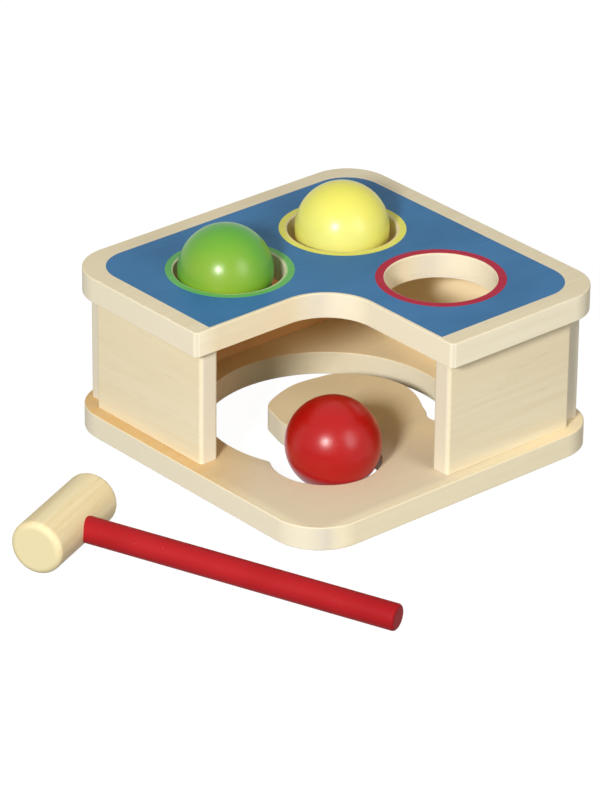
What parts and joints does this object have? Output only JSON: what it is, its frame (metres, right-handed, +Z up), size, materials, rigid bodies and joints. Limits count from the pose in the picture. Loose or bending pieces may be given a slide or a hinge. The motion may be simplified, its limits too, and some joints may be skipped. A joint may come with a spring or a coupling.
{
  "type": "ball pounding bench",
  "caption": "Wooden toy bench with holes in its top board through which balls are knocked with a hammer, to roll along a widening slot to an open seat.",
  "frame": {"origin": "middle of the base board's underside, on the floor that the bench stands on", "axes": "+Z up; the open front corner of the bench points to -X -Y, and the boards' sides run along X and Y"},
  "size_m": [0.3191, 0.2806, 0.1176],
  "materials": {
    "pale_wood": "natural pale hardwood board, clear satin varnish",
    "head_wood": "natural turned hardwood, satin",
    "dowel_wood": "bare beech dowel",
    "green_lacquer": "turned wood, glossy green lacquer",
    "yellow_lacquer": "turned wood, glossy yellow lacquer",
    "red_lacquer": "turned wood, glossy red lacquer",
    "handle_paint": "wooden dowel, satin red paint",
    "blue_paint": "thin film of matt blue paint, printed on the top board",
    "green_paint": "thin film of green paint, printed round a ball hole",
    "yellow_paint": "thin film of yellow paint, printed round a ball hole",
    "red_paint": "thin film of red paint, printed round a ball hole",
    "zinc_steel": "zinc-plated wood screw",
    "clear_elastic": "clear elastic line, 1 mm"
  },
  "bodies": {
    "bench": {"base_board": "pale_wood", "top_board": "pale_wood", "front_left_panel": "pale_wood", "front_right_panel": "pale_wood", "back_left_wall": "pale_wood", "back_right_wall": "pale_wood", "wall_dowel_1": "dowel_wood", "wall_dowel_2": "dowel_wood", "wall_dowel_3": "dowel_wood", "wall_dowel_4": "dowel_wood", "wall_dowel_5": "dowel_wood", "wall_dowel_6": "dowel_wood", "wall_dowel_7": "dowel_wood", "wall_dowel_8": "dowel_wood", "base_screw_1": "zinc_steel", "base_screw_2": "zinc_steel", "base_screw_3": "zinc_steel", "base_screw_4": "zinc_steel", "base_screw_5": "zinc_steel", "base_screw_6": "zinc_steel", "base_screw_7": "zinc_steel", "base_screw_8": "zinc_steel", "green_hole_front_line": "clear_elastic", "green_hole_back_line": "clear_elastic", "yellow_hole_front_line": "clear_elastic", "yellow_hole_back_line": "clear_elastic", "red_hole_front_line": "clear_elastic", "red_hole_back_line": "clear_elastic"},
    "green_ball": {"green_ball": "green_lacquer"},
    "yellow_ball": {"yellow_ball": "yellow_lacquer"},
    "red_ball": {"red_ball": "red_lacquer"},
    "hammer": {"hammer_head": "head_wood", "hammer_handle": "handle_paint"}
  },
  "joints": [
    {"name": "green_ball_drop", "type": "slide", "parent": "bench", "child": "green_ball", "axis": [0, 0, -1], "range_m": [-0.045, 0.057], "deforming": ["green_hole_front_line", "green_hole_back_line"]},
    {"name": "yellow_ball_drop", "type": "slide", "parent": "bench", "child": "yellow_ball", "axis": [0, 0, -1], "range_m": [-0.045, 0.057], "deforming": ["yellow_hole_front_line", "yellow_hole_back_line"]},
    {"name": "red_ball_lift", "type": "slide", "parent": "bench", "child": "red_ball", "axis": [0, 0, 1], "range_m": [0, 0.1]},
    {"name": "hammer_lift", "type": "slide", "parent": "bench", "child": "hammer", "axis": [0, 0, 1], "range_m": [0, 0.12]}
  ]
}
